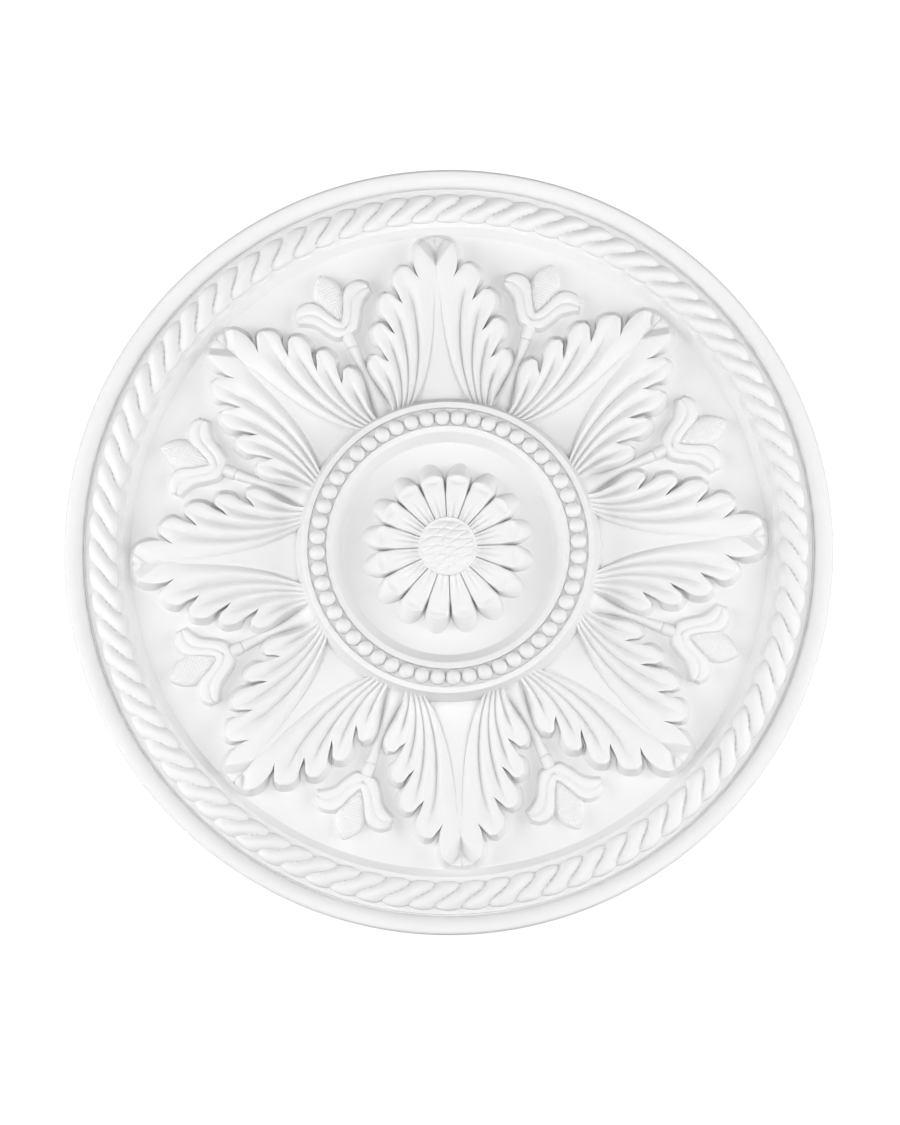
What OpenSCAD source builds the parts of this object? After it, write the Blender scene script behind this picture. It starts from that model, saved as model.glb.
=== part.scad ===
// Ceiling rose: a round moulded ornament, cast in one piece.
// The flat back lies in the plane y = 0 and the carving faces -Y, with one leaf pointing up along +Z.

/* [Overall] */
// Diameter over the rim
rose_d = 600; // [500:10:900]
// Thickness of the field, from the back
field_t = 10; // [6:0.5:16]
// Turn of the whole carving about its centre, in degrees
turn = 2.5; // [0:0.5:10]

/* [Border] */
// Height of the rim's crown above the back
rim_h = 26; // [20:0.5:40]
// Width of the rounded rim
rim_w = 15; // [10:0.5:24]
// Width of the flat fillet outside the rope
fillet_w = 4.5; // [3:0.5:12]
// Width of the flat fillet inside the rope
inner_fillet_w = 2.5; // [2:0.5:10]
// Width of the rope
rope_w = 22; // [14:0.5:24]
// Height of the rope above its fillet
rope_h = 8; // [5:0.5:12]
// Strands that show around the rope
rope_strands = 84; // [60:1:96]
// Length along the rope that a strand takes to cross it
strand_run = 25; // [15:1:35]
// Height of the border's fillet above the field
border_h = 8; // [5:0.5:14]
// Width of the cove that falls from the border to the field
cove_w = 6; // [4:0.5:10]

/* [Boss] */
// Radius of the boss at its top edge
boss_r = 114; // [100:1:130]
// Height of the boss's top above the back
boss_h = 39; // [34:0.5:50]
// Width of the sloping wall around the boss, in plan
boss_wall_w = 7; // [4:0.5:10]
// Beads around the boss
beads = 52; // [40:1:60]
// Radius of a bead
bead_r = 6.1; // [5:0.1:6.1]
// Distance from the boss's edge to the middle of the beads
bead_inset = 12.5; // [10:0.5:16]
// Radius of the dish at its top edge
dish_r = 90; // [82:1:94]
// Depth of the dish below the boss's top
dish_depth = 12; // [6:0.5:16]
// Width of the dish's hollow wall, in plan
dish_wall_w = 8.5; // [5:0.5:12]

/* [Leaves] */
// Leaves around the boss
leaves = 8; // [6:1:8]
// Half the width of a leaf, at its widest lobe
leaf_half_w = 55; // [40:1:56]
// Height of the tip lobe above the field
leaf_h = 16; // [10:0.5:22]
// Width of a lobe's steep side, in plan
lobe_wall_w = 5; // [3:0.5:8]
// Depth of the flute along a lobe
flute_depth = 2.2; // [1:0.1:3]

/* [Flowers] */
// Half the span of a flower's two petals
flower_half_w = 32.5; // [24:0.5:36]
// Length of a flower, from the bottom of its cup to the tip of its cone
flower_len = 53; // [40:1:58]
// Gap between a flower's tip and the edge of the field
flower_gap = 10; // [6:1:20]
// Height of a flower above the field
flower_h = 9; // [6:0.5:14]
// Half the width of the stem under the flower
stem_half_w = 4.7; // [3:0.1:7]

/* [Rosette] */
// Petals around the button
petals = 16; // [12:1:20]
// Radius of the rosette over its petal crests
petal_r = 56; // [46:0.5:62]
// Height of the petals above the dish
petal_h = 14; // [8:0.5:18]
// Length of the steep end of a petal, in plan
petal_drop = 12; // [6:0.5:14]
// Radius of the button
button_r = 23; // [16:0.5:28]
// Height of the button's top above the petals
button_h = 9; // [4:0.5:14]

/* [Hidden] */
$fn = 96;

// Radii of the border, worked inwards from the rim
rose_r = rose_d / 2;
rim_in_r = rose_r - rim_w;
rope_r = rim_in_r - fillet_w - rope_w / 2;
border_in_r = rope_r - rope_w / 2 - inner_fillet_w;
field_r = border_in_r - cove_w;
rim_edge = 3; // radius that rounds the rim's outer edge
arc_steps = 6; // straight runs that stand for a quarter curve

// Levels above the back
border_z = field_t + border_h;
dish_z = boss_h - dish_depth;
dish_floor_r = dish_r - dish_wall_w;
petal_z = dish_z + petal_h;
button_top = petal_z + button_h;
bead_z = boss_h - 1; // level of the middle of the beads
seat_z = boss_h - 3; // floor of the channel that the beads lie in
bead_circle_r = boss_r - bead_inset;
sunk = 2; // how far the carving's feet reach into the field

// A leaf runs from the boss's wall to just inside the cove
leaf_from = boss_r - 1;
leaf_len = field_r - lobe_wall_w - 1.5 - leaf_from;
leaf_step = 360 / leaves;

// Lobes of half a leaf, from the tip down: each one's end, and the notch above each side lobe, as shares of
// the leaf's length and half width
tip_at = [[1, 0], [0.843, 0.51], [0.677, 0.69], [0.5, 0.845], [0.319, 0.927]];
notch_at = [[0.785, 0.02], [0.765, 0.264], [0.619, 0.485], [0.446, 0.627], [0.277, 0.727], [0.07, 0.727]];
// Slopes of the ribs where they leave the boss and where they reach their notch
rib_out = [-0.48, -0.45, -0.26, -0.13, 0, 0.15];
rib_end = [0, 0.15, 0.32, 0.4, 0.43, 0.5];
// Where the ribs stand beside each other at the boss
rib_from = 0.39;
rib_pitch = 0.062;
lobe_rise = [1, 0.9, 0.84, 0.78, 0.72]; // height of each lobe as a share of the tip lobe's
bulge_out = leaf_len * 28 / 261; // how far a lobe's outer edge bows
bulge_in = leaf_len * 2 / 87; // how far its inner edge bows
on_rib = 3; // rows of points from the boss to the notches
last = 5; // rows of points from the boss to the lobes' ends
seam = 0.4; // half the width of the seam along a rib's crest

function mix(a, b, t) = a + (b - a) * t;
function unit(v) = v / norm(v);
function left_of(v) = [-v[1], v[0]];
function hermite(a, b, slope_a, slope_b, run, t) =
    a * (2 * t * t * t - 3 * t * t + 1) + slope_a * run * (t * t * t - 2 * t * t + t)
    + b * (3 * t * t - 2 * t * t * t) + slope_b * run * (t * t * t - t * t);
function bow(a, b, bulge, t) =
    let (control = (a + b) / 2 + left_of(unit(b - a)) * bulge)
    a * (1 - t) * (1 - t) + control * 2 * t * (1 - t) + b * t * t;

// A place on the leaf, as [distance from the rose's centre, distance from the leaf's axis]
function on_leaf(p) = [leaf_from + p[0] * leaf_len, p[1] * leaf_half_w];
function tip(k) = on_leaf(tip_at[k]);
function notch(j) = on_leaf(notch_at[j]);

// Crest of rib j, from the boss to its notch; rib 0 is the edge of the plain tongue in the middle
function rib(j, t) =
    let (end = notch(j), run = end[0] - leaf_from)
    [
        mix(leaf_from, end[0], t),
        hermite((rib_from + rib_pitch * (j - 0.4)) * leaf_half_w, end[1], rib_out[j], rib_end[j], run, t)
    ];

// Edge of a lobe beside rib j: up the rib to its notch, then around the lobe's free end
function lobe_edge(k, j, side, row) =
    row <= on_rib
    ? rib(j, row / on_rib) + [0, side * seam]
    : bow(notch(j), tip(k), side < 0 ? bulge_out : bulge_in, (row - on_rib) / (last - on_rib + 0.35));
function inner_edge(k, row) = lobe_edge(k, k, 1, row);
function outer_edge(k, row) = lobe_edge(k, k + 1, -1, row);

// Height of a crest above the feet: it climbs the boss's wall at the base, and eases down at the end
function crest_z(k, p, row) =
    let (
        h = leaf_h * lobe_rise[k],
        wall_top = boss_h - field_t - 2.4,
        climb = (wall_top - h) * exp(-max(0, norm(p) - leaf_from - 1) / 3)
    )
    row == 0 ? sunk + wall_top : sunk + h * (row == last ? 0.88 : 1) + climb;

// Floor of the notch beyond rib j: it falls from the rib's end to the foot, on the way out between two lobes
function notch_floor(j, row) =
    let (
        upper = outer_edge(j - 1, on_rib + 1),
        lower = inner_edge(j, last),
        mouth = (upper + lower) / 2,
        out = unit(mouth - notch(j)),
        z = crest_z(j, notch(j), 0)
    )
    row <= on_rib ? concat(rib(j, row / on_rib), crest_z(j, rib(j, row / on_rib), row) - (row == 0 ? 0 : 0.3))
    : row < last ? concat(mix(notch(j), mouth, 0.5), z * 0.45)
    : row == last ? concat(mouth, 1)
    : concat(mouth + out * lobe_wall_w * 0.9, 0);

// Points of a side lobe along one row: its inner crest, its flute and its outer crest
function lobe_row(k, row) =
    let (
        a = inner_edge(k, min(row, last)),
        b = outer_edge(k, min(row, last)),
        flute = mix(a, b, mix(0.5, 0.35, min(row, last) / last)),
        ahead = -left_of(unit(b - a)) * lobe_wall_w
    )
    row <= last
    ? [
        concat(a, crest_z(k, a, row)),
        concat(flute, crest_z(k, flute, row) - flute_depth * (row == 0 ? 0 : row == last ? 0.2 : 1)),
        concat(b, crest_z(k, b, row))
    ]
    : [concat(a + ahead * 0.9, 0), concat((a + b) / 2 + ahead * 1.15, 0), concat(b + ahead * 0.9, 0)];

// Points of the tip lobe's outer half: the plain tongue, its edge and the crest
function tip_row(row) =
    let (
        r = min(row, last),
        b = outer_edge(0, r),
        g = r <= on_rib ? rib(0, r / on_rib) : [b[0], b[1] * 0.35],
        tongue = crest_z(0, g, r) - (row == 0 ? 0 : flute_depth * mix(1.4, 0.2, r / last))
    )
    row <= last
    ? [[g[0], 0, tongue + (row == 0 ? 0 : 0.5)], concat(g, tongue), concat(b, crest_z(0, b, row))]
    : [
        [b[0] + lobe_wall_w * 1.4, 0, 0],
        [b[0] + lobe_wall_w * 1.2, b[1] * 0.6, 0],
        [b[0] + lobe_wall_w * 0.6, b[1] + lobe_wall_w * 0.5, 0]
    ];

// One row across half a leaf, from its axis to the foot of its lowest lobe
function half_row(row) =
    let (edge = outer_edge(4, min(row, last)))
    concat(
        tip_row(row),
        [for (k = [1:4], p = concat([notch_floor(k, row)], lobe_row(k, row))) p],
        [concat(edge + (row > last ? [0.25, 1] : [0, 1]) * lobe_wall_w, 0)]
    );
function whole_row(row) =
    let (half = half_row(row), n = len(half))
    concat([for (i = [n - 1:-1:1]) [half[i][0], -half[i][1], half[i][2]]], half);

// A sheet over rows of points whose outer points lie in the plane z = 0, closed below and at its first row,
// which is straight but for its two ends
module standing_sheet(rows, middle) {
    n = len(rows[0]);
    m = len(rows);
    top = [for (i = [0:m - 2], j = [0:n - 2], half = [0, 1])
        let (a = i * n + j, b = a + 1, c = a + n, d = c + 1)
        j < (n - 1) / 2
        ? (half == 0 ? [a, b, c] : [b, d, c])
        : (half == 0 ? [a, d, c] : [a, b, d])];
    rim = concat(
        [0],
        [for (i = [0:m - 1]) i * n + n - 1],
        [for (j = [n - 2:-1:0]) (m - 1) * n + j],
        [for (i = [m - 2:-1:1]) i * n]
    );
    base = [for (j = [n - 1:-1:2]) [0, j, j - 1]];
    below = [for (i = [0:len(rim) - 1]) [m * n, rim[(i + 1) % len(rim)], rim[i]]];
    polyhedron(points = concat([for (r = rows) each r], [middle]), faces = concat(top, base, below));
}

module leaf() {
    standing_sheet([for (row = [0:last + 1]) whole_row(row)], [leaf_from + 0.3 * leaf_len, 0, 0]);
}

// A skin over a row of closed outlines; its two ends are closed, or it runs round to its first outline
module loft(rings, closed = false) {
    n = len(rings[0]);
    m = len(rings);
    skin = [for (i = [0:closed ? m - 1 : m - 2], j = [0:n - 1], half = [0, 1])
        let (a = i * n + j, b = i * n + (j + 1) % n, c = (a + n) % (m * n), d = (b + n) % (m * n))
        half == 0 ? [a, c, d] : [a, d, b]];
    ends = closed ? [] : [[for (j = [0:n - 1]) j], [for (j = [n - 1:-1:0]) (m - 1) * n + j]];
    polyhedron(points = [for (r = rings) each r], faces = concat(skin, ends));
}

// Outline of the body from its middle to its rim and back along the flat back, as [radius, level]
function quarter(center, size, from, to) = [
    for (i = [0:arc_steps]) let (t = mix(from, to, i / arc_steps)) center + [size[0] * cos(t), size[1] * sin(t)]
];
body_outline = concat(
    [for (i = [0:arc_steps]) let (t = 90 * i / arc_steps)
        [(button_r - 1.5) * sin(t), petal_z + 1.5 + (button_h - 1.5) * cos(t)]],
    [[button_r - 0.6, petal_z + 1.9], [button_r, petal_z + 1.2], [button_r, dish_z]],
    quarter([dish_floor_r, boss_h], [dish_wall_w, dish_depth], 270, 360),
    [
        [bead_circle_r - bead_r - 0.6, boss_h],
        [bead_circle_r - bead_r - 0.2, seat_z],
        [bead_circle_r + bead_r + 0.2, seat_z],
        [bead_circle_r + bead_r + 0.6, boss_h],
        [boss_r - 1, boss_h],
        [boss_r, boss_h - 1],
        [boss_r + boss_wall_w, field_t]
    ],
    quarter([field_r, border_z], [cove_w, border_h], 270, 360),
    quarter([rose_r - rim_edge, border_z], [rim_w - rim_edge, rim_h - border_z], 180, 90),
    [[rose_r - rim_edge * 0.3, rim_h - rim_edge * 0.3], [rose_r, rim_h - rim_edge], [rose_r, 0], [0, 0]]
);

module body() {
    rotate_extrude() polygon(body_outline);
    for (i = [0:beads - 1])
        rotate(360 * i / beads) translate([bead_circle_r, 0, bead_z]) sphere(bead_r);
}

// The rope: one closed skin with a crest and a groove for each strand, each swept back across its width
rope_share = [-1, -0.62, 0, 0.62, 1];
rope_rise = [0, 0.72, 1, 0.72, 0];
rope_groove = 0.62; // height of a groove's middle as a share of the crest's
module rope() {
    loft([for (i = [0:2 * rope_strands - 1]) [
        for (j = [0:4])
            let (
                in_groove = i % 2 == 1,
                r = rope_r + rope_share[j] * rope_w / 2,
                sweep = strand_run / rope_r * asin(rope_share[j] * 0.98) / 180,
                turned = 180 * i / rope_strands - sweep * 180 / PI
            )
            [
                r * cos(turned), r * sin(turned),
                border_z + (rope_rise[j] == 0 ? -1 : rope_h * rope_rise[j] * (in_groove ? rope_groove : 1))
            ]
    ]], closed = true);
}

// The rosette: one closed skin with a crest, two flanks and a gap for each petal
module rosette() {
    petal_end = [0.9, 0.975, 1, 0.975]; // how far the gap, flank, crest and flank reach
    petal_top = [0.5, 0.86, 1, 0.86];
    across = [0, 0.16, 0.5, 0.84];
    loft([for (i = [0:4 * petals - 1])
        let (
            part = i % 4,
            a = 360 * (floor(i / 4) + across[part]) / petals,
            out = petal_r * petal_end[part],
            drop = petal_drop * (part == 0 ? 0.15 : 1) * petal_end[part],
            top = dish_z + petal_h * petal_top[part]
        )
        [for (p = [
            [button_r - 2, dish_z - 1],
            [button_r - 2, petal_z - (part == 0 ? 2 : 0.6)],
            [out, top - (part == 0 ? 3 : 0)],
            [out + drop * 0.62, mix(dish_z, top, part == 0 ? 0.1 : 0.55)],
            [out + drop, dish_z - 1]
        ]) [p[0] * cos(a), p[0] * sin(a), p[1]]]
    ], closed = true);
}

// A flower stands between two leaves. Places on it are [share of its length, share of its half span]
flower_from = field_r - flower_gap - flower_len;
lower_at = [[0, -0.02], [0.06, 0.31], [0.245, 0.49], [0.4, 0.65], [0.51, 0.97]];
upper_at = [[0.21, -0.02], [0.47, 0.28], [0.68, 0.48], [0.7, 0.77], [0.575, 0.985]];
cone_at = [[0.23, 0], [0.47, -0.25], [0.74, -0.32], [1, 0], [0.74, 0.32], [0.47, 0.25]];
petal_wall = 2.6; // width of a petal's steep side, in plan
function on_flower(p) = [flower_from + p[0] * flower_len, p[1] * flower_half_w];

// Half of the cup: a band that runs out to the petal's tip
module flower_petal() {
    loft([for (i = [0:4])
        let (
            a = on_flower(lower_at[i]),
            b = on_flower(upper_at[i]),
            over = unit(b - a) * petal_wall,
            z = flower_h * mix(1, 0.8, i / 4)
        )
        [
            concat(a - over, -sunk),
            concat(a, z),
            concat(b, z),
            concat(b + over, -sunk)
        ]
    ]);
}
module flower_cone() {
    middle = on_flower([0.6, 0]);
    loft([
        [for (p = cone_at) concat(on_flower(p), -sunk)],
        [for (p = cone_at) concat(mix(middle, on_flower(p), 0.6), flower_h * 0.85)]
    ]);
}

// The stem, from the boss's wall to the flower's cup: [radius, half width, height] of each place along it
module stem() {
    places = [
        [boss_r - 0.7, stem_half_w * 0.55, boss_h - field_t - 3.1],
        [mix(boss_r, flower_from, 7 / 73), stem_half_w * 0.7, flower_h * 1.05],
        [mix(boss_r, flower_from, 20 / 73), stem_half_w * 0.6, flower_h * 0.72],
        [mix(boss_r, flower_from, 0.56), stem_half_w * 0.5, flower_h * 0.6],
        [flower_from + 3, stem_half_w * 1.05, flower_h * 0.8]
    ];
    loft([for (p = places) [
        [p[0], p[1] + 1, -sunk],
        [p[0], p[1] * 0.5, p[2]],
        [p[0], -p[1] * 0.5, p[2]],
        [p[0], -p[1] - 1, -sunk]
    ]]);
}
module flower() {
    resize([0, 0, 0]) { // no change of size: it joins the pieces into one net of facets
        flower_petal();
        mirror([0, 1, 0]) flower_petal();
        flower_cone();
        stem();
    }
}

module foliage() {
    for (i = [0:leaves - 1]) {
        rotate(leaf_step * i) translate([0, 0, field_t - sunk]) leaf();
        rotate(leaf_step * (i + 0.5)) translate([0, 0, field_t]) flower();
    }
}

module ceiling_rose() {
    color("white") rotate([90, 0, 0]) rotate(90 + turn) {
        body();
        rope();
        rosette();
        foliage();
    }
}

ceiling_rose();
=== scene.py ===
"""Ceiling rose: a round moulded ornament of plaster-white, cast in one piece, hung upright on its flat back.

Lengths in the shape functions are millimetres. A place on the face is (u, w, h): u runs out from the centre
along a leaf's axis, w lies to its left, and h is the height above the flat back, towards the viewer (-Y).
"""
import math

import bmesh
import bpy
import numpy as np
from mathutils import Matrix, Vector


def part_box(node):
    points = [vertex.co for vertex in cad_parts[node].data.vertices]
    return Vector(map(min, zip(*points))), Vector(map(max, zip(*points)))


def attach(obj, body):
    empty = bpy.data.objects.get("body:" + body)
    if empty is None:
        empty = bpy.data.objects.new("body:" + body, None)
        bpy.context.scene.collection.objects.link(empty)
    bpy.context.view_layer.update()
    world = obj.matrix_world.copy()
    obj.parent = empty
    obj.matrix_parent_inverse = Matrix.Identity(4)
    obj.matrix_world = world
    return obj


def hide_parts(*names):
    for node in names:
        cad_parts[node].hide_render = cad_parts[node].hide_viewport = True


bl_info = {
    "name": "Ceiling Rose",
    "version": (1, 0, 0),
    "blender": (4, 5, 0),
    "location": "View3D > Sidebar > Rose",
    "description": "Builds a moulded ceiling rose with leaves, flowers, beads and a rope border",
    "category": "Add Mesh",
}

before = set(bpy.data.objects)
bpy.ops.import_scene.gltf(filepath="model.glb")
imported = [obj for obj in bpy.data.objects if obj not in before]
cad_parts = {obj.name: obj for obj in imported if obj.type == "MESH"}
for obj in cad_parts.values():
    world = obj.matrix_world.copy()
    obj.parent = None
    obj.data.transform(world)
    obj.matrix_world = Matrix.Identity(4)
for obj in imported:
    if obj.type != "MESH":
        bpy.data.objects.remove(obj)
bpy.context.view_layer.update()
NODE = "ceiling_rose"
LOW, HIGH = (np.array(corner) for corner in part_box(NODE))

MM = 0.001
ROSE_R = (HIGH[0] - LOW[0]) / 2 / MM
DEPTH = (HIGH[1] - LOW[1]) / MM
FIELD = 10.0  # level of the plain field above the back
BORDER = 18.0  # level of the border's fillet
BOSS = 39.0  # level of the boss's top
DISH = 27.0  # level of the dish's floor
PETALS = 41.0  # level of the rosette's crests
BOSS_R = 114.0
TURN = math.radians(2.5)  # the whole design is cast a little turned
UP = math.radians(90) + TURN  # the first leaf's axis
ROOT = FIELD - 1.0  # raised pieces end at this level, sunk in the field
DISH_ROOT = DISH - 0.6  # petals end at this level, sunk in the dish's floor
WELD = 2e-6  # metres; points of one piece nearer than this become one

STRAND_STEPS = 16  # rings of points in each strand of the rope
ROPE_R, ROPE_HALF_W, ROPE_H = 270.0, 11.6, 8.0
ROPE_RUN = 20.0  # length along the rope that a strand takes to cross it
BEAD_CIRCLE_R, BEAD_R, BEAD_LEVEL = 101.7, 6.3, BOSS - 0.8

VIEW_WIDTH = 0.8835  # metres across the longer side of the picture, at the rose


# ---------------------------------------------------------------- shapes

def smoothstep(low, high, x):
    """0 below low, 1 above high, and 3t^2 - 2t^3 between."""
    t = np.clip((x - low) / (high - low), 0, 1)
    return t * t * (3 - 2 * t)


def mix(a, b, t):
    """a + (b - a) t."""
    return a + (b - a) * t


def hermite(start, end, slope_start, slope_end, run, t):
    """Cubic from start to end over a run, with the given slopes at its two ends."""
    return (
        start * (2 * t**3 - 3 * t**2 + 1) + slope_start * run * (t**3 - 2 * t**2 + t)
        + end * (3 * t**2 - 2 * t**3) + slope_end * run * (t**3 - t**2)
    )


def path_through(points, count, closed=False):
    """Smooth path through a few points: cubics whose slopes are half the step between neighbours,
    then count places at equal distances along it."""
    p = np.asarray(points, float)
    if closed:
        p = np.vstack([p, p[:1]])
        before, after = p[-2:-1], p[1:2]
    else:
        before, after = 2 * p[:1] - p[1:2], 2 * p[-1:] - p[-2:-1]
    q = np.vstack([before, p, after])
    slope = (q[2:] - q[:-2]) / 2
    t = np.linspace(0, 1, 24, endpoint=False)[None, :, None]
    a, b = p[:-1, None], p[1:, None]
    curve = hermite(a, b, slope[:-1, None], slope[1:, None], 1.0, t).reshape(-1, p.shape[1])
    curve = np.vstack([curve, p[-1:]])
    along = np.concatenate([[0], np.cumsum(np.linalg.norm(np.diff(curve, axis=0), axis=1))])
    wanted = np.linspace(0, along[-1], count)
    return np.column_stack([np.interp(wanted, along, curve[:, i]) for i in range(p.shape[1])])


def arc(center, radii, start, end, count):
    """Places on an ellipse with the given centre and radii, from the start angle to the end angle in degrees."""
    a = np.radians(np.linspace(start, end, count))
    return np.column_stack([center[0] + radii[0] * np.cos(a), center[1] + radii[1] * np.sin(a)])


def turned(points, angle):
    """(u, w, h) places turned about the rose's centre and set in the scene: x right, z up, y = -h."""
    u, w, h = points[..., 0], points[..., 1], points[..., 2]
    c, s = math.cos(angle), math.sin(angle)
    return np.stack([u * c - w * s, -h, u * s + w * c], axis=-1) * MM


def skin(rows, closed=False, caps=True):
    """Faces over rows of closed outlines: (points, quads). The ends are closed by strips across the outline.
    The last strip over an odd outline names one point twice, and so stands for a triangle."""
    m, n = rows.shape[:2]
    i = np.arange(m if closed else m - 1)[:, None]
    j = np.arange(n)[None, :]
    this, following = i * n, (i + 1) % m * n
    quads = np.stack(np.broadcast_arrays(
        this + j, this + (j + 1) % n, following + (j + 1) % n, following + j), axis=-1).reshape(-1, 4)
    if caps and not closed:
        j = np.arange(n // 2 - (0 if n % 2 else 1))
        cap = np.stack([j, j + 1, n - 2 - j, n - 1 - j], axis=-1)
        quads = np.vstack([quads, cap, cap[:, ::-1] + (m - 1) * n])
    return rows.reshape(-1, 3), quads


def add_piece(name, shells, angle=35.0):
    """One mesh object from closed shells, welded, turned outwards and smooth but at sharp edges."""
    count, points, faces = 0, [], []
    for p, q in shells:
        points.append(p)
        faces.append(q + count)
        count += len(p)
    points, faces = np.vstack(points), np.vstack(faces)
    mesh = bpy.data.meshes.new(name)
    mesh.vertices.add(len(points))
    mesh.vertices.foreach_set("co", points.ravel())
    corner = faces != np.roll(faces, 1, axis=1)  # a quad that names a point twice is a triangle
    sides = corner.sum(axis=1)
    mesh.loops.add(int(sides.sum()))
    mesh.loops.foreach_set("vertex_index", faces[corner].astype(np.int32))
    mesh.polygons.add(len(faces))
    mesh.polygons.foreach_set("loop_start", (np.cumsum(sides) - sides).astype(np.int32))
    mesh.update(calc_edges=True)
    b = bmesh.new()
    b.from_mesh(mesh)
    bmesh.ops.remove_doubles(b, verts=b.verts, dist=WELD)
    bmesh.ops.recalc_face_normals(b, faces=b.faces)
    b.to_mesh(mesh)
    b.free()
    mesh.polygons.foreach_set("use_smooth", np.ones(len(mesh.polygons), bool))
    mesh.set_sharp_from_angle(angle=math.radians(angle))
    mesh.update()
    piece = bpy.data.objects.new(name, mesh)
    bpy.context.scene.collection.objects.link(piece)
    piece.data.materials.append(white_finish())
    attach(piece, "root")
    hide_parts(NODE)
    return piece


# ---------------------------------------------------------------- finish

def white_finish():
    """Matt white primer over a fine-grained casting: faint mottling, and a very fine grain in the bump."""
    name = "matt_white_casting"
    if name in bpy.data.materials:
        return bpy.data.materials[name]
    look = bpy.context.scene.rose_look
    material = bpy.data.materials.new(name)
    material.use_nodes = True
    nodes, links = material.node_tree.nodes, material.node_tree.links
    shader = nodes["Principled BSDF"]
    shader.inputs["Roughness"].default_value = look.roughness
    shader.inputs["Specular IOR Level"].default_value = 0.3
    where = nodes.new("ShaderNodeTexCoord")
    mottle = nodes.new("ShaderNodeTexNoise")
    mottle.inputs["Scale"].default_value = 9.0
    mottle.inputs["Detail"].default_value = 4.0
    ramp = nodes.new("ShaderNodeValToRGB")
    ramp.color_ramp.elements[0].position = 0.35
    ramp.color_ramp.elements[1].position = 0.65
    low = [c * 0.975 for c in look.color]
    ramp.color_ramp.elements[0].color = (*low, 1)
    ramp.color_ramp.elements[1].color = (*look.color, 1)
    grain = nodes.new("ShaderNodeTexNoise")
    grain.inputs["Scale"].default_value = 900.0
    grain.inputs["Detail"].default_value = 3.0
    bump = nodes.new("ShaderNodeBump")
    bump.inputs["Strength"].default_value = look.grain
    bump.inputs["Distance"].default_value = 0.0003
    links.new(where.outputs["Object"], mottle.inputs["Vector"])
    links.new(where.outputs["Object"], grain.inputs["Vector"])
    links.new(mottle.outputs["Fac"], ramp.inputs["Fac"])
    links.new(ramp.outputs["Color"], shader.inputs["Base Color"])
    links.new(grain.outputs["Fac"], bump.inputs["Height"])
    links.new(bump.outputs["Normal"], shader.inputs["Normal"])
    return material


# ---------------------------------------------------------------- body

def body_outline():
    """Closed outline (radius, height) of the turned body: dish, bead channel, boss, field, cove, fillet, rim
    and back."""
    parts = [
        [(0.0, DISH), (82.8, DISH)],
        [(83.5, DISH + 0.4), (89.6, BOSS - 0.8), (90.0, BOSS - 0.3), (90.6, BOSS)],
        [(94.6, BOSS), (95.1, BOSS - 0.5), (95.3, BOSS - 3)],
        [(108.7, BOSS - 3), (109.1, BOSS - 0.5), (109.6, BOSS), (113.2, BOSS)],
        arc((113.2, BOSS - 0.9), (0.9, 0.9), 75, 10, 4),
        [(114.3, BOSS - 2), (116.2, 30.0), (118.8, 20.0)],
        arc((124.2, FIELD + 5.5), (4.6, 5.5), 175, 270, 7),
        [(249.2, FIELD), (249.9, FIELD + 0.4), (254.8, BORDER - 0.6), (255.5, BORDER)],
        [(284.2, BORDER), (284.7, BORDER - 1.4), (285.6, BORDER - 1.4)],
        arc((296.0, BORDER), (10.0, 8.0), 176, 92, 16),
        [(297.2, 26.0)],
        arc((297.2, 23.2), (2.8, 2.8), 84, 0, 7),
        [(ROSE_R, 1.0), (ROSE_R - 1.0, 0.0), (0.0, 0.0)],
    ]
    return np.vstack([np.asarray(p, float) for p in parts])


def body_shell(segments):
    """The body's outline turned about the axis in equal steps."""
    outline = body_outline()
    a = np.linspace(0, math.tau, segments, endpoint=False)[:, None]
    rows = np.stack([outline[:, 0] * np.cos(a), -np.broadcast_to(outline[:, 1], (segments, len(outline))),
                     outline[:, 0] * np.sin(a)], axis=-1) * MM
    return skin(rows, closed=True)


# ---------------------------------------------------------------- rope

def rope_shell(strands, per_strand, radius, half_width, height, run):
    """Half a twisted rope laid in a ring. Across it the section is a half superellipse at angle a from -90 to 90
    degrees. A strand's phase is its share of the ring plus half of run * (1.5 x - 0.5 x^3), in pitches, where
    x = sin a. Where the phase is whole the surface sinks and draws in, as the power 0.55 of |sin(pi phase)|."""
    across = np.radians(np.linspace(-90, 90, 25))[None, :]
    ring = np.linspace(0, math.tau, strands * per_strand, endpoint=False)[:, None]
    x = np.sin(across)
    phase = strands * ring / math.tau + run / (math.tau * radius / strands) * (1.5 * x - 0.5 * x**3) / 2
    swell = np.abs(np.sin(math.pi * phase)) ** 0.55
    r = radius + half_width * x * (0.75 + 0.25 * swell)
    h = BORDER - 0.8 + (height + 0.8) * np.cos(across) ** 0.55 * (0.4 + 0.6 * swell)
    rows = np.stack([r * np.cos(ring), -h, r * np.sin(ring)], axis=-1) * MM
    return skin(rows, closed=True)


# ---------------------------------------------------------------- beads

def bead_shells(count, radius, bead_r, level):
    """Balls side by side on a ring: each is a sphere turned about the face's normal."""
    down = np.linspace(0, math.pi, 15)
    sides = 26
    around = np.linspace(0, math.tau, sides, endpoint=False)
    shells = []
    for i in range(count):
        a = TURN + math.tau * i / count
        x = radius * math.cos(a) + bead_r * np.sin(down)[:, None] * np.cos(around)
        z = radius * math.sin(a) + bead_r * np.sin(down)[:, None] * np.sin(around)
        y = -(level + bead_r * np.cos(down)[:, None]) + 0 * around
        shells.append(skin(np.stack([x, y, z], axis=-1) * MM, caps=False))
    return shells


# ---------------------------------------------------------------- leaf

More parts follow.
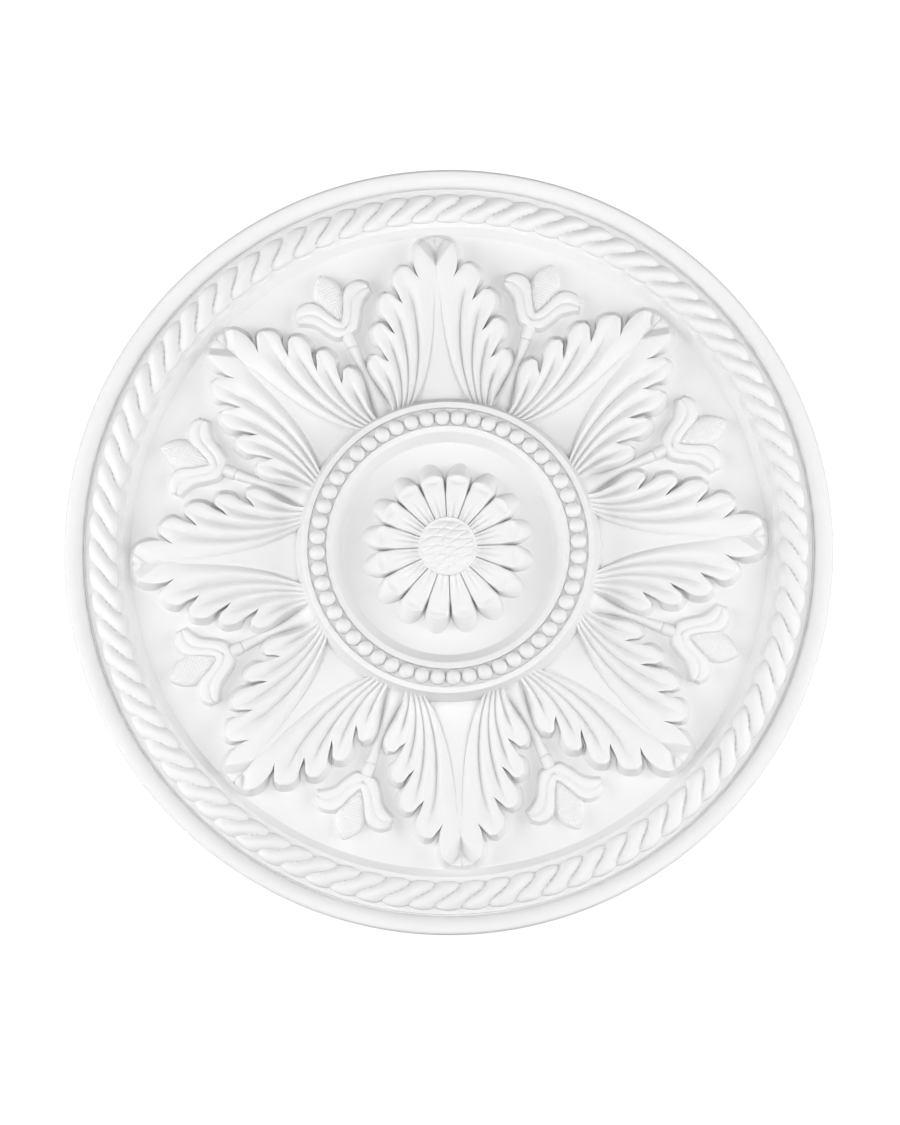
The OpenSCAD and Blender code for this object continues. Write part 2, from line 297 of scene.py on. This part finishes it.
# Each crest line and valley of half a leaf, from the boss outwards: w at the boss, w at its end, slope dw/du at
# the boss and at its end, and u at its end. A crest line ends in the notch between two lobes.
CRESTS = (
    (23.6, 13.4, -0.42, 0.12, 214.0),
    (26.7, 27.2, -0.26, 0.30, 195.0),
    (30.1, 33.8, -0.18, 0.38, 170.8),
    (33.5, 39.7, 0.02, 0.40, 149.5),
    (38.0, 40.3, 0.20, 0.40, 122.0),
)
VALLEYS = (
    (22.3, 0.8, -0.55, -0.08, 224.0),
    (25.4, 18.5, -0.38, 0.14, 192.0),
    (28.6, 35.5, -0.22, 0.40, 196.0),
    (31.9, 41.5, -0.16, 0.45, 172.0),
    (35.2, 47.5, 0.12, 0.50, 150.0),
)
# Free edge of each lobe between its two notches; the third place is the lobe's end. The first is half the tip.
LOBE_EDGES = (
    ((221.5, 16.2), (231.0, 16.7), (239.0, 15.3), (244.0, 11.6), (246.8, 6.2), (247.4, 0.0)),
    ((219.8, 17.9), (224.4, 22.8), (224.2, 28.0), (219.0, 33.0), (212.0, 34.2), (204.3, 30.8)),
    ((199.2, 31.7), (203.6, 36.6), (203.6, 41.5), (198.8, 45.2), (190.0, 44.8), (180.9, 39.4)),
    ((174.8, 38.3), (179.8, 42.9), (180.6, 47.4), (176.5, 51.2), (168.0, 50.4), (159.4, 45.2)),
    ((152.2, 43.9), (156.2, 48.7), (155.2, 53.0), (149.5, 55.0), (141.5, 52.6), (131.5, 45.6)),
)
LEAF_FROM = BOSS_R - 0.5
HIDDEN_R = 110.0  # the lines start here, under the boss's edge


def line_at(line, u):
    """w of a crest line or valley at u."""
    t = (u - LEAF_FROM) / (line[4] - LEAF_FROM)
    return hermite(line[0], line[1], line[2], line[3], line[4] - LEAF_FROM, t)


def start_of(line):
    """u where a line leaves the hidden circle under the boss's edge."""
    return math.sqrt(HIDDEN_R**2 - line[0] ** 2)


def plain_level(u):
    """Height of the leaf's crests away from the boss: it rises towards the tip."""
    return 21.5 + 4.5 * smoothstep(140, 240, u)


def crest_level(u, w):
    """Height of the leaf's crests, which climb the boss's wall at the base and end under its edge."""
    out = np.hypot(u, w)
    climb = (BOSS - 1.0 - plain_level(u)) * np.exp(-np.clip(out - BOSS_R, 0, None) / 3.2)
    return plain_level(u) + climb - 7.0 * (1 - smoothstep(HIDDEN_R, BOSS_R - 0.8, out))


def outward(edge, inside):
    """Unit normals of an edge path, pointing away from the inside path."""
    along = np.gradient(edge, axis=0)
    normal = np.column_stack([-along[:, 1], along[:, 0]])
    normal /= np.linalg.norm(normal, axis=1, keepdims=True) + 1e-9
    side = np.sign(np.sum(normal * (edge - inside), axis=1, keepdims=True))
    side[side == 0] = 1
    side[-1] = side[-2]
    return normal * side


def wall(edge, level, normal, width, foot, count):
    """Steep side below an edge: as v goes from 0 to 1 it moves out by v * width and falls by 1.2 v - 0.2 v^2."""
    v = np.linspace(0, 1, count)[None, 1:]
    fall = v * (1.2 - 0.2 * v)
    out = edge[:, None] + normal[:, None] * (v * width[:, None])[..., None]
    h = level[:, None] - (level[:, None] - foot) * fall
    return np.concatenate([out, h[..., None]], axis=-1)


def crown(x, crest_at, low, high, drop):
    """Height across a rounded strip: x = 0 is its valley and x = 1 its edge; a parabola rises to the crest at
    crest_at, and another falls by drop from there to the edge."""
    crest_at, low, high, drop = (a[:, None] for a in (crest_at, low, high, drop))
    rising = low + (high - low) * (1 - (1 - np.clip(x / crest_at, 0, 1)) ** 2)
    past = np.clip((x - crest_at) / np.clip(1 - crest_at, 1e-3, None), 0, 1)
    return rising - drop * past**2


def past(path, first):
    """Distance along a path beyond its place number first, and 0 before it."""
    walk = np.concatenate([[0], np.cumsum(np.linalg.norm(np.diff(path, axis=0), axis=1))])
    return np.clip(walk - walk[first], 0, None)


def lobe_rows(k):
    """One side lobe: rows run across it from the boss to its end, between its two crest lines and around its
    free end, with its valley between them."""
    upper, lower, valley = CRESTS[k - 1], CRESTS[k], VALLEYS[k]
    outline = np.array(LOBE_EDGES[k])
    low_end = lower[4]
    n_low = int((low_end - LEAF_FROM) / 1.6) + 4
    ahead = np.linspace(0, 1, n_low)[:-1]
    n_up = 44
    on_upper = np.linspace(low_end, upper[4], 7)
    inner = path_through(np.vstack([np.column_stack([on_upper, line_at(upper, on_upper)]), outline[:3]]), n_up)
    outer = path_through(np.vstack([[(low_end, lower[1])], outline[:1:-1]]), n_up)
    on_valley = np.linspace(low_end, valley[4], 6)
    middle = path_through(np.vstack([np.column_stack([on_valley, line_at(valley, on_valley)]),
                                     outline[2:3]]), n_up)
    paths = []
    for line, free in ((upper, inner), (valley, middle), (lower, outer)):
        u = mix(start_of(line), low_end, ahead)
        paths.append(np.vstack([np.column_stack([u, line_at(line, u)]), free]))
    inner, middle, outer = paths
    t = np.concatenate([0 * ahead, np.linspace(0, 1, n_up)])
    past_upper = past(inner, np.argmax(inner[:, 0] >= upper[4]))
    return inner, middle, outer, t, past_upper, past(outer, len(ahead))


def lobe_shell(k, side):
    """A side lobe as a closed skin. Each row: foot, wall, inner edge, valley, crown, outer edge, wall, foot."""
    inner, middle, outer, t, past_in, past_out = lobe_rows(k)
    near = np.linalg.norm(middle - inner, axis=1)
    far = np.linalg.norm(outer - middle, axis=1)
    level_in, level_out = crest_level(*inner.T), crest_level(*outer.T)
    level_mid = crest_level(*middle.T)
    fade = 1 - smoothstep(0.25, 0.85, t)
    at_wall = np.exp(-np.clip(np.hypot(*middle.T) - BOSS_R, 0, None) / 5)
    depth = np.clip((near + far) * 0.42, 1.2, 4.4) * fade + 0.15 + 2.5 * at_wall
    end = np.sqrt(np.clip(1 - (np.clip(t - 0.72, 0, 1) / 0.28) ** 2, 0, 1))
    low = np.minimum(level_mid, np.minimum(level_in, level_out)) - depth
    crest_in = mix(1.0, 0.62, smoothstep(0, 7, past_in))
    crest_out = mix(1.0, 0.62, smoothstep(0, 12, past_out))
    drop_in = 0.7 * smoothstep(0, 7, past_in)
    drop_out = 1.0 * smoothstep(0, 12, past_out)
    x_in = np.linspace(1, 0, 8)[None, :]
    x_out = np.linspace(0, 1, 14)[None, 1:]
    h_in = crown(x_in, crest_in, low, level_in, drop_in)
    h_out = crown(x_out, crest_out, low, level_out, drop_out)
    last = level_out[-1] - 1.0
    h_in = mix(last, h_in, end[:, None]) * (t > 0.72)[:, None] + h_in * (t <= 0.72)[:, None]
    h_out = mix(last, h_out, end[:, None]) * (t > 0.72)[:, None] + h_out * (t <= 0.72)[:, None]
    p_in = mix(middle[:, None], inner[:, None], x_in[..., None])
    p_out = mix(middle[:, None], outer[:, None], x_out[..., None])
    width_in = 0.03 + 0.5 * smoothstep(0, 3, past_in) + 4.5 * smoothstep(9, 18, past_in)
    width_out = 0.03 + 0.5 * smoothstep(0, 3, past_out) + 4.5 * smoothstep(12, 22, past_out)
    if k == 4:
        width_out = 0 * width_out + 5.0
    wall_in = wall(inner, h_in[:, 0], outward(inner, middle), width_in, ROOT, 9)[:, ::-1]
    wall_out = wall(outer, h_out[:, -1], outward(outer, middle), width_out, ROOT, 9)
    rows = np.concatenate([
        wall_in,
        np.concatenate([p_in, h_in[..., None]], axis=-1),
        np.concatenate([p_out, h_out[..., None]], axis=-1),
        wall_out,
    ], axis=1)
    rows[..., 1] *= side
    return rows


def tip_rows():
    """The tip lobe with the plain tongue below it, from its left edge to its right. Towards its end a V-shaped
    fold cuts across it, and a small nose rises beyond the fold."""
    crest, valley = CRESTS[0], VALLEYS[0]
    outline = np.array(LOBE_EDGES[0])
    n_low, n_up = 62, 58
    u = np.linspace(start_of(crest), crest[4], n_low)[:-1]
    edge = np.vstack([
        np.column_stack([u, line_at(crest, u)]),
        path_through(np.vstack([[(crest[4], crest[1])], outline]), n_up),
    ])
    u, half = edge[:, 0], edge[:, 1]
    free = past(edge, n_low - 1)
    seam = np.maximum(line_at(valley, np.minimum(u, valley[4])), 0.8)
    seam = np.minimum(seam, np.maximum(half - 1.2, half * 0.45))
    level = crest_level(u, half)
    x = np.linspace(0, 1, 10)[None, :]
    w_in = seam[:, None] * x
    groove = 1.5 * (1 - smoothstep(200, 223, u))
    at_wall = np.exp(-np.clip(u - BOSS_R - 2, 0, None) / 2.5)
    tongue = plain_level(u) - mix(3.0, 1.5, smoothstep(185, 224, u)) - 5.0 * at_wall
    h_in = tongue[:, None] + 0.7 * x**2 - groove[:, None] * np.exp(-(1 - x) * seam[:, None] / 0.9)
    y = np.linspace(0, 1, 18)[None, 1:]
    w_out = mix(seam[:, None], half[:, None], y)
    crest_at = mix(1.0, 0.6, smoothstep(0, 12, free))
    drop = 1.0 * smoothstep(0, 10, free)
    h_out = crown(y, crest_at, h_in[:, -1], level, drop)
    w = np.concatenate([w_in, w_out], axis=1)
    h = np.concatenate([h_in, h_out], axis=1)
    uu = np.broadcast_to(u[:, None], w.shape)
    beyond = (uu - 224.0 - 1.33 * w) * 0.6
    fold = 8.0 * np.clip(beyond / 6.4, 0, 1) * (1 - smoothstep(12.5, 16.5, w))
    nose = 2.5 * np.exp(-((uu - 242.0) / 4.5) ** 2 - (w / 8.0) ** 2)
    h = h - fold + nose * smoothstep(6.4, 8.5, beyond)
    width = 0.03 + 0.6 * smoothstep(0, 3, free) + 4.6 * smoothstep(9, 20, free)
    flat = np.column_stack([u, 0 * u])
    side_wall = wall(edge, h[:, -1], outward(edge, flat - [0.5, 0]), width, ROOT, 9)
    half_rows = np.concatenate([np.stack([uu, w, h], axis=-1), side_wall], axis=1)
    left = half_rows[:, ::-1] * [1, -1, 1]
    return np.concatenate([left, half_rows[:, 1:]], axis=1)


def leaf_shells(angle):
    """One leaf: its tip lobe with the tongue, and four lobes on each side."""
    shells = [skin(turned(tip_rows(), angle))]
    for k in range(1, 5):
        for side in (1, -1):
            shells.append(skin(turned(lobe_shell(k, side), angle)))
    return shells


# ---------------------------------------------------------------- flower

def strip_rows(lower, upper, level, groove, width, foot, count=40):
    """A raised band between two edge paths: across it the height is level, rounded at both edges, with a groove
    along the middle; steep walls fall outside both edges."""
    a, b = path_through(lower, count), path_through(upper, count)
    x = np.linspace(0, 1, 15)[None, :]
    across = mix(a[:, None], b[:, None], x[..., None])
    h = level[:, None] - 0.9 * (2 * x - 1) ** 4 - groove * np.exp(-((x - 0.5) / 0.09) ** 2)
    na, nb = outward(a, b), outward(b, a)
    wide = np.full(count, width)
    return np.concatenate([
        wall(a, h[:, 0], na, wide, foot, 7)[:, ::-1],
        np.concatenate([across, h[..., None]], axis=-1),
        wall(b, h[:, -1], nb, wide, foot, 7),
    ], axis=1)


def flower_shells(angle):
    """A cup of two petals around a cone, on a collar and a stem that runs up the boss's wall."""
    shells = []
    lower = [(188.0, -1.0), (188.2, 4.0), (189.5, 8.5), (197.0, 14.0), (204.5, 18.5), (209.5, 25.0),
             (213.0, 32.5)]
    upper = [(198.5, -1.0), (200.5, 2.0), (209.0, 7.0), (217.5, 11.0), (222.5, 16.5), (223.0, 25.0),
             (217.5, 32.0)]
    reach = np.linspace(0, 1, 40)
    level = mix(19.8, 17.6, reach) - 7.0 * np.clip((reach - 0.94) / 0.06, 0, 1) ** 2
    petal = strip_rows(lower, upper, level, 1.2, 3.2, ROOT)
    for side in (1, -1):
        shells.append(skin(turned(petal * [1, side, 1], angle)))
    a = np.linspace(0, 1, 70)[:, None]
    u = 198.0 + 43.0 * a
    half = 12.4 * np.sin(math.pi * a**1.25) ** 0.8 + 0.05
    s = np.sin(np.linspace(-math.pi / 2, math.pi / 2, 41))[None, :]
    body = np.sqrt(np.clip(1 - np.abs(2 * a - 1) ** 8, 0, 1) * np.clip(1 - np.abs(s) ** 3.4, 0, 1))
    seeds = np.cos((u + half * s) * math.tau / 4.6) * np.cos((u - half * s) * math.tau / 4.6)
    h = ROOT + (8.2 + 0.55 * seeds) * body
    cone = np.stack([u + 0 * s, half * s, h], axis=-1)
    shells.append(skin(turned(cone, angle)))
    places = np.array([
        (111.0, 7.0, 35.0), (114.5, 7.2, 35.5), (118.0, 7.4, 25.0), (122.0, 7.0, 20.0), (130.0, 5.0, 18.0),
        (140.0, 3.4, 17.0), (154.0, 2.6, 16.0), (165.0, 3.2, 16.5), (176.0, 3.9, 17.3), (177.5, 3.5, 16.2),
        (179.0, 4.3, 17.6), (189.0, 4.4, 18.6),
    ])
    path = path_through(places, 90)
    s = np.linspace(-1, 1, 15)[None, :]
    across = path[:, 1:2] * s * 1.25
    h = ROOT + (path[:, 2:3] - ROOT) * np.sqrt(np.clip(1 - np.abs(s) ** 2.4, 0, 1))
    shells.append(skin(turned(np.stack([path[:, :1] + 0 * s, across, h], axis=-1), angle)))
    return shells


# ---------------------------------------------------------------- rosette

def rosette_shells(count):
    """Petals around the button, side by side. Across a petal s goes from -1 to 1 and only its last part drops,
    as |s|^16, into the thin gap between two petals. Its top ends in an ellipse, and a steep side falls from
    there to a larger one on the dish. Fine flutes run out from the button, and a hollow lies near the end."""
    step = math.tau / count
    s = np.sin(np.linspace(-math.pi / 2, math.pi / 2, 41))[None, :]
    edge = 46.5 + 10.0 * np.sqrt(1 - 0.98 * s**2)
    foot_edge = 49.0 + 19.0 * np.sqrt(np.clip(1 - np.abs(s) ** 2.3, 0, 1))
    along, down = np.linspace(0, 1, 44)[:, None], np.linspace(0, 1, 16)[1:, None]
    r = np.concatenate([20.0 + (edge - 20.0) * along, edge + (foot_edge - edge) * down])
    half = np.minimum(r * math.tan(step / 2), 10.8) - 0.01  # so that no two petals share an edge
    gap_floor = mix(PETALS - 3.0, DISH_ROOT, smoothstep(40, 50, r))
    flutes = 0.7 * np.cos(s * math.pi * 3) * (1 - smoothstep(28, 46, r)) * (1 - s**2)
    hollow = 1.3 * np.exp(-((r - 51.8) / 2.2) ** 2 - (s * half / 5.0) ** 2)
    top = PETALS - (flutes + hollow) * (1 - np.abs(s) ** 8)
    h = mix(top, gap_floor, np.abs(s) ** 16)
    n = len(along)
    h[n:] = mix(h[n - 1:n], DISH_ROOT, down**1.1)
    petal = np.stack([r, half * s, h], axis=-1)
    return [skin(turned(petal, UP + step * (i + 0.5))) for i in range(count)]


def button_shell(radius, top, bottom):
    """Domed button with a thin raised rim and a net of fine lines that run across it and slope over it."""
    r = np.concatenate([np.linspace(0, 0.9, 46), np.linspace(0.91, 1.0, 10)])[:, None] * radius
    a = np.linspace(0, math.tau, 160, endpoint=False)[None, :]
    x, z = r * np.cos(a), r * np.sin(a)
    dome = top - 5.0 * (r / radius) ** 2.2
    level_lines = (z + 0.9 * np.sin(x / 5.5)) / 6.6
    sloping = (x * math.sin(math.radians(38)) - z * math.cos(math.radians(38)) + 0.6 * np.sin(x / 4)) / 7.0
    net = sum(np.exp(-((q - np.round(q)) / 0.11) ** 2) for q in (level_lines, sloping))
    inside = 1 - smoothstep(0.86, 0.92, r / radius)
    rim = 0.9 * np.exp(-((r / radius - 0.965) / 0.028) ** 2)
    h = dome - 1.0 * np.clip(net, 0, 1.1) * inside + rim
    h[-1] = bottom
    rows = np.stack([x, -h, z], axis=-1) * MM
    flat = rows[-1:].copy()
    rows = np.concatenate([rows, flat * [0, 1, 0]], axis=0)
    return skin(rows, caps=False)


# ---------------------------------------------------------------- settings and operators

class RoseLook(bpy.types.PropertyGroup):
    """Finish of the casting."""
    color: bpy.props.FloatVectorProperty(
        name="Colour", description="Colour of the matt white primer", subtype="COLOR", size=3,
        default=(0.74, 0.74, 0.74), min=0, max=1)
    roughness: bpy.props.FloatProperty(
        name="Roughness", description="Roughness of the primer", default=0.6, min=0, max=1, subtype="FACTOR")
    grain: bpy.props.FloatProperty(
        name="Grain", description="Strength of the fine grain", default=0.12, min=0, max=1, subtype="FACTOR")


class RoseSizes(bpy.types.PropertyGroup):
    """Counts and sizes of the rose's parts."""
    rope_strands: bpy.props.IntProperty(
        name="Rope strands", description="Strands around the rope border", default=84, min=24, max=120)
    beads: bpy.props.IntProperty(
        name="Beads", description="Beads around the boss", default=52, min=24, max=72)
    petals: bpy.props.IntProperty(
        name="Petals", description="Petals around the button", default=16, min=8, max=24)
    leaves: bpy.props.IntProperty(
        name="Leaves", description="Leaves around the boss", default=8, min=4, max=8)
    button: bpy.props.FloatProperty(
        name="Button radius", description="Radius of the button", default=0.023, unit="LENGTH")


class RoseStage(bpy.types.PropertyGroup):
    """Light and camera."""
    distance: bpy.props.FloatProperty(
        name="Camera distance", description="From the rose to the camera", default=3.6, unit="LENGTH")
    elevation: bpy.props.FloatProperty(
        name="Camera elevation", description="Angle of the camera above the rose's axis",
        default=math.radians(-6), subtype="ANGLE")
    azimuth: bpy.props.FloatProperty(
        name="Camera azimuth", description="Angle of the camera to the right of the rose's axis",
        default=math.radians(1), subtype="ANGLE")
    side_light: bpy.props.FloatProperty(
        name="Side lights", description="Power of each soft light at the sides", default=18.5, unit="POWER")
    front_light: bpy.props.FloatProperty(
        name="Front light", description="Power of the large soft light by the camera's axis", default=75.0,
        unit="POWER")
    back_light: bpy.props.FloatProperty(
        name="Back light", description="Power of the soft light behind the rose", default=30.0, unit="POWER")
    ambient: bpy.props.FloatProperty(
        name="Ambient", description="Strength of the light from all round", default=0.07)


class ROSE_OT_body(bpy.types.Operator):
    """Turned body: rim, fillets, cove, field, boss, bead channel and dish"""
    bl_idname = "rose.body"
    bl_label = "Body"

    def execute(self, context):
        add_piece("body", [body_shell(360)], angle=28)
        return {"FINISHED"}


class ROSE_OT_rope(bpy.types.Operator):
    """Twisted rope in the border"""
    bl_idname = "rose.rope"
    bl_label = "Rope"

    def execute(self, context):
        strands = context.scene.rose_sizes.rope_strands
        rope = rope_shell(strands, STRAND_STEPS, ROPE_R, ROPE_HALF_W, ROPE_H, ROPE_RUN)
        add_piece("rope_border", [rope], angle=60)
        return {"FINISHED"}


class ROSE_OT_beads(bpy.types.Operator):
    """Ring of beads around the boss"""
    bl_idname = "rose.beads"
    bl_label = "Beads"

    def execute(self, context):
        beads = bead_shells(context.scene.rose_sizes.beads, BEAD_CIRCLE_R, BEAD_R, BEAD_LEVEL)
        add_piece("bead_ring", beads)
        return {"FINISHED"}


class ROSE_OT_leaves(bpy.types.Operator):
    """Leaves around the boss"""
    bl_idname = "rose.leaves"
    bl_label = "Leaves"

    def execute(self, context):
        count = context.scene.rose_sizes.leaves
        for i in range(count):
            add_piece(f"leaf_{i + 1}", leaf_shells(UP + math.tau * i / count), angle=42)
        return {"FINISHED"}


class ROSE_OT_flowers(bpy.types.Operator):
    """Flowers between the leaves"""
    bl_idname = "rose.flowers"
    bl_label = "Flowers"

    def execute(self, context):
        count = context.scene.rose_sizes.leaves
        shells = []
        for i in range(count):
            shells += flower_shells(UP + math.tau * (i + 0.5) / count)
        add_piece("flowers", shells, angle=50)
        return {"FINISHED"}


class ROSE_OT_rosette(bpy.types.Operator):
    """Rosette of petals and its button"""
    bl_idname = "rose.rosette"
    bl_label = "Rosette"

    def execute(self, context):
        sizes = context.scene.rose_sizes
        add_piece("rosette", rosette_shells(sizes.petals), angle=50)
        add_piece("button", [button_shell(sizes.button / MM, DEPTH - 0.1, DISH)], angle=60)
        return {"FINISHED"}


def seen_by_camera(tree, socket, unseen, seen):
    """Drive a strength socket so that the camera sees one value and the light in the room gets another."""
    ray = tree.nodes.new("ShaderNodeLightPath")
    span = tree.nodes.new("ShaderNodeMapRange")
    span.inputs["To Min"].default_value = unseen
    span.inputs["To Max"].default_value = seen
    tree.links.new(ray.outputs["Is Camera Ray"], span.inputs["Value"])
    tree.links.new(span.outputs["Result"], socket)


class ROSE_OT_stage(bpy.types.Operator):
    """Pale floor, white surroundings, four soft lights and the camera"""
    bl_idname = "rose.stage"
    bl_label = "Stage"

    def execute(self, context):
        look = context.scene.rose_stage
        scene = context.scene
        scene.view_settings.view_transform = "Standard"
        world = bpy.data.worlds.new("white_room")
        world.use_nodes = True
        scene.world = world
        back = world.node_tree.nodes["Background"]
        back.inputs["Color"].default_value = (1, 1, 1, 1)
        seen_by_camera(world.node_tree, back.inputs["Strength"], look.ambient, 1.05)

        floor_mesh = bpy.data.meshes.new("floor")
        size, level = 6.0, -0.9
        corners = [(-size, -size, level), (size, -size, level), (size, size, level), (-size, size, level)]
        floor_mesh.from_pydata(corners, [], [(0, 1, 2, 3)])
        floor = bpy.data.objects.new("floor", floor_mesh)
        scene.collection.objects.link(floor)
        pale = bpy.data.materials.new("pale_floor")
        pale.use_nodes = True
        shader = pale.node_tree.nodes["Principled BSDF"]
        shader.inputs["Base Color"].default_value = (0.85, 0.85, 0.85, 1)
        shader.inputs["Roughness"].default_value = 0.8
        shader.inputs["Emission Color"].default_value = (1, 1, 1, 1)
        seen_by_camera(pale.node_tree, shader.inputs["Emission Strength"], 0.0, 0.5)
        floor_mesh.materials.append(pale)

        lamps = (
            ("softbox_left", -64.0, 1.7, 1.2, look.side_light * 1.06),
            ("softbox_right", 64.0, 1.7, 1.2, look.side_light),
            ("softbox_front", 0.0, 4.0, 1.5, look.front_light),
            ("softbox_back", 165.0, 2.6, 1.5, look.back_light),
        )
        for name, angle, away, width, power in lamps:
            data = bpy.data.lights.new(name, "AREA")
            data.shape = "RECTANGLE"
            data.size, data.size_y = width, 1.2
            data.energy = power
            lamp = bpy.data.objects.new(name, data)
            a = math.radians(angle)
            lamp.location = (away * math.sin(a), -away * math.cos(a), 0.0)
            lamp.rotation_euler = (math.radians(90), 0, a)
            scene.collection.objects.link(lamp)

        data = bpy.data.cameras.new("camera")
        camera = bpy.data.objects.new("camera", data)
        scene.collection.objects.link(camera)
        target = np.array([0.0010, 0.0, -0.0082])
        el, az = look.elevation, look.azimuth
        direction = np.array([math.sin(az) * math.cos(el), -math.cos(az) * math.cos(el), math.sin(el)])
        camera.location = target + look.distance * direction
        camera.rotation_euler = (math.radians(90) - el, 0, az)
        data.sensor_fit = "AUTO"
        data.lens = data.sensor_width * look.distance / VIEW_WIDTH
        data.clip_end = 50
        scene.camera = camera
        return {"FINISHED"}


class ROSE_PT_panel(bpy.types.Panel):
    """The rose's builders and settings"""
    bl_idname = "ROSE_PT_panel"
    bl_label = "Ceiling Rose"
    bl_space_type = "VIEW_3D"
    bl_region_type = "UI"
    bl_category = "Rose"

    def draw(self, context):
        scene = context.scene
        for group in (scene.rose_sizes, scene.rose_look, scene.rose_stage):
            box = self.layout.box()
            for name in group.__annotations__:
                box.prop(group, name)
        for step in STEPS:
            self.layout.operator(step.bl_idname)


STEPS = (
    ROSE_OT_body, ROSE_OT_rope, ROSE_OT_beads, ROSE_OT_leaves, ROSE_OT_flowers, ROSE_OT_rosette, ROSE_OT_stage,
)
GROUPS = {"rose_look": RoseLook, "rose_sizes": RoseSizes, "rose_stage": RoseStage}


def register():
    """Register the settings, the operators and the panel."""
    for name, group in GROUPS.items():
        bpy.utils.register_class(group)
        setattr(bpy.types.Scene, name, bpy.props.PointerProperty(type=group))
    for step in STEPS:
        bpy.utils.register_class(step)
    bpy.utils.register_class(ROSE_PT_panel)


def unregister():
    """Remove what register added."""
    bpy.utils.unregister_class(ROSE_PT_panel)
    for step in reversed(STEPS):
        bpy.utils.unregister_class(step)
    for name, group in GROUPS.items():
        delattr(bpy.types.Scene, name)
        bpy.utils.unregister_class(group)


def main():
    """Build every piece and the stage."""
    register()
    for step in STEPS:
        group, name = step.bl_idname.split(".")
        getattr(getattr(bpy.ops, group), name)()


if __name__ == "__main__":
    main()
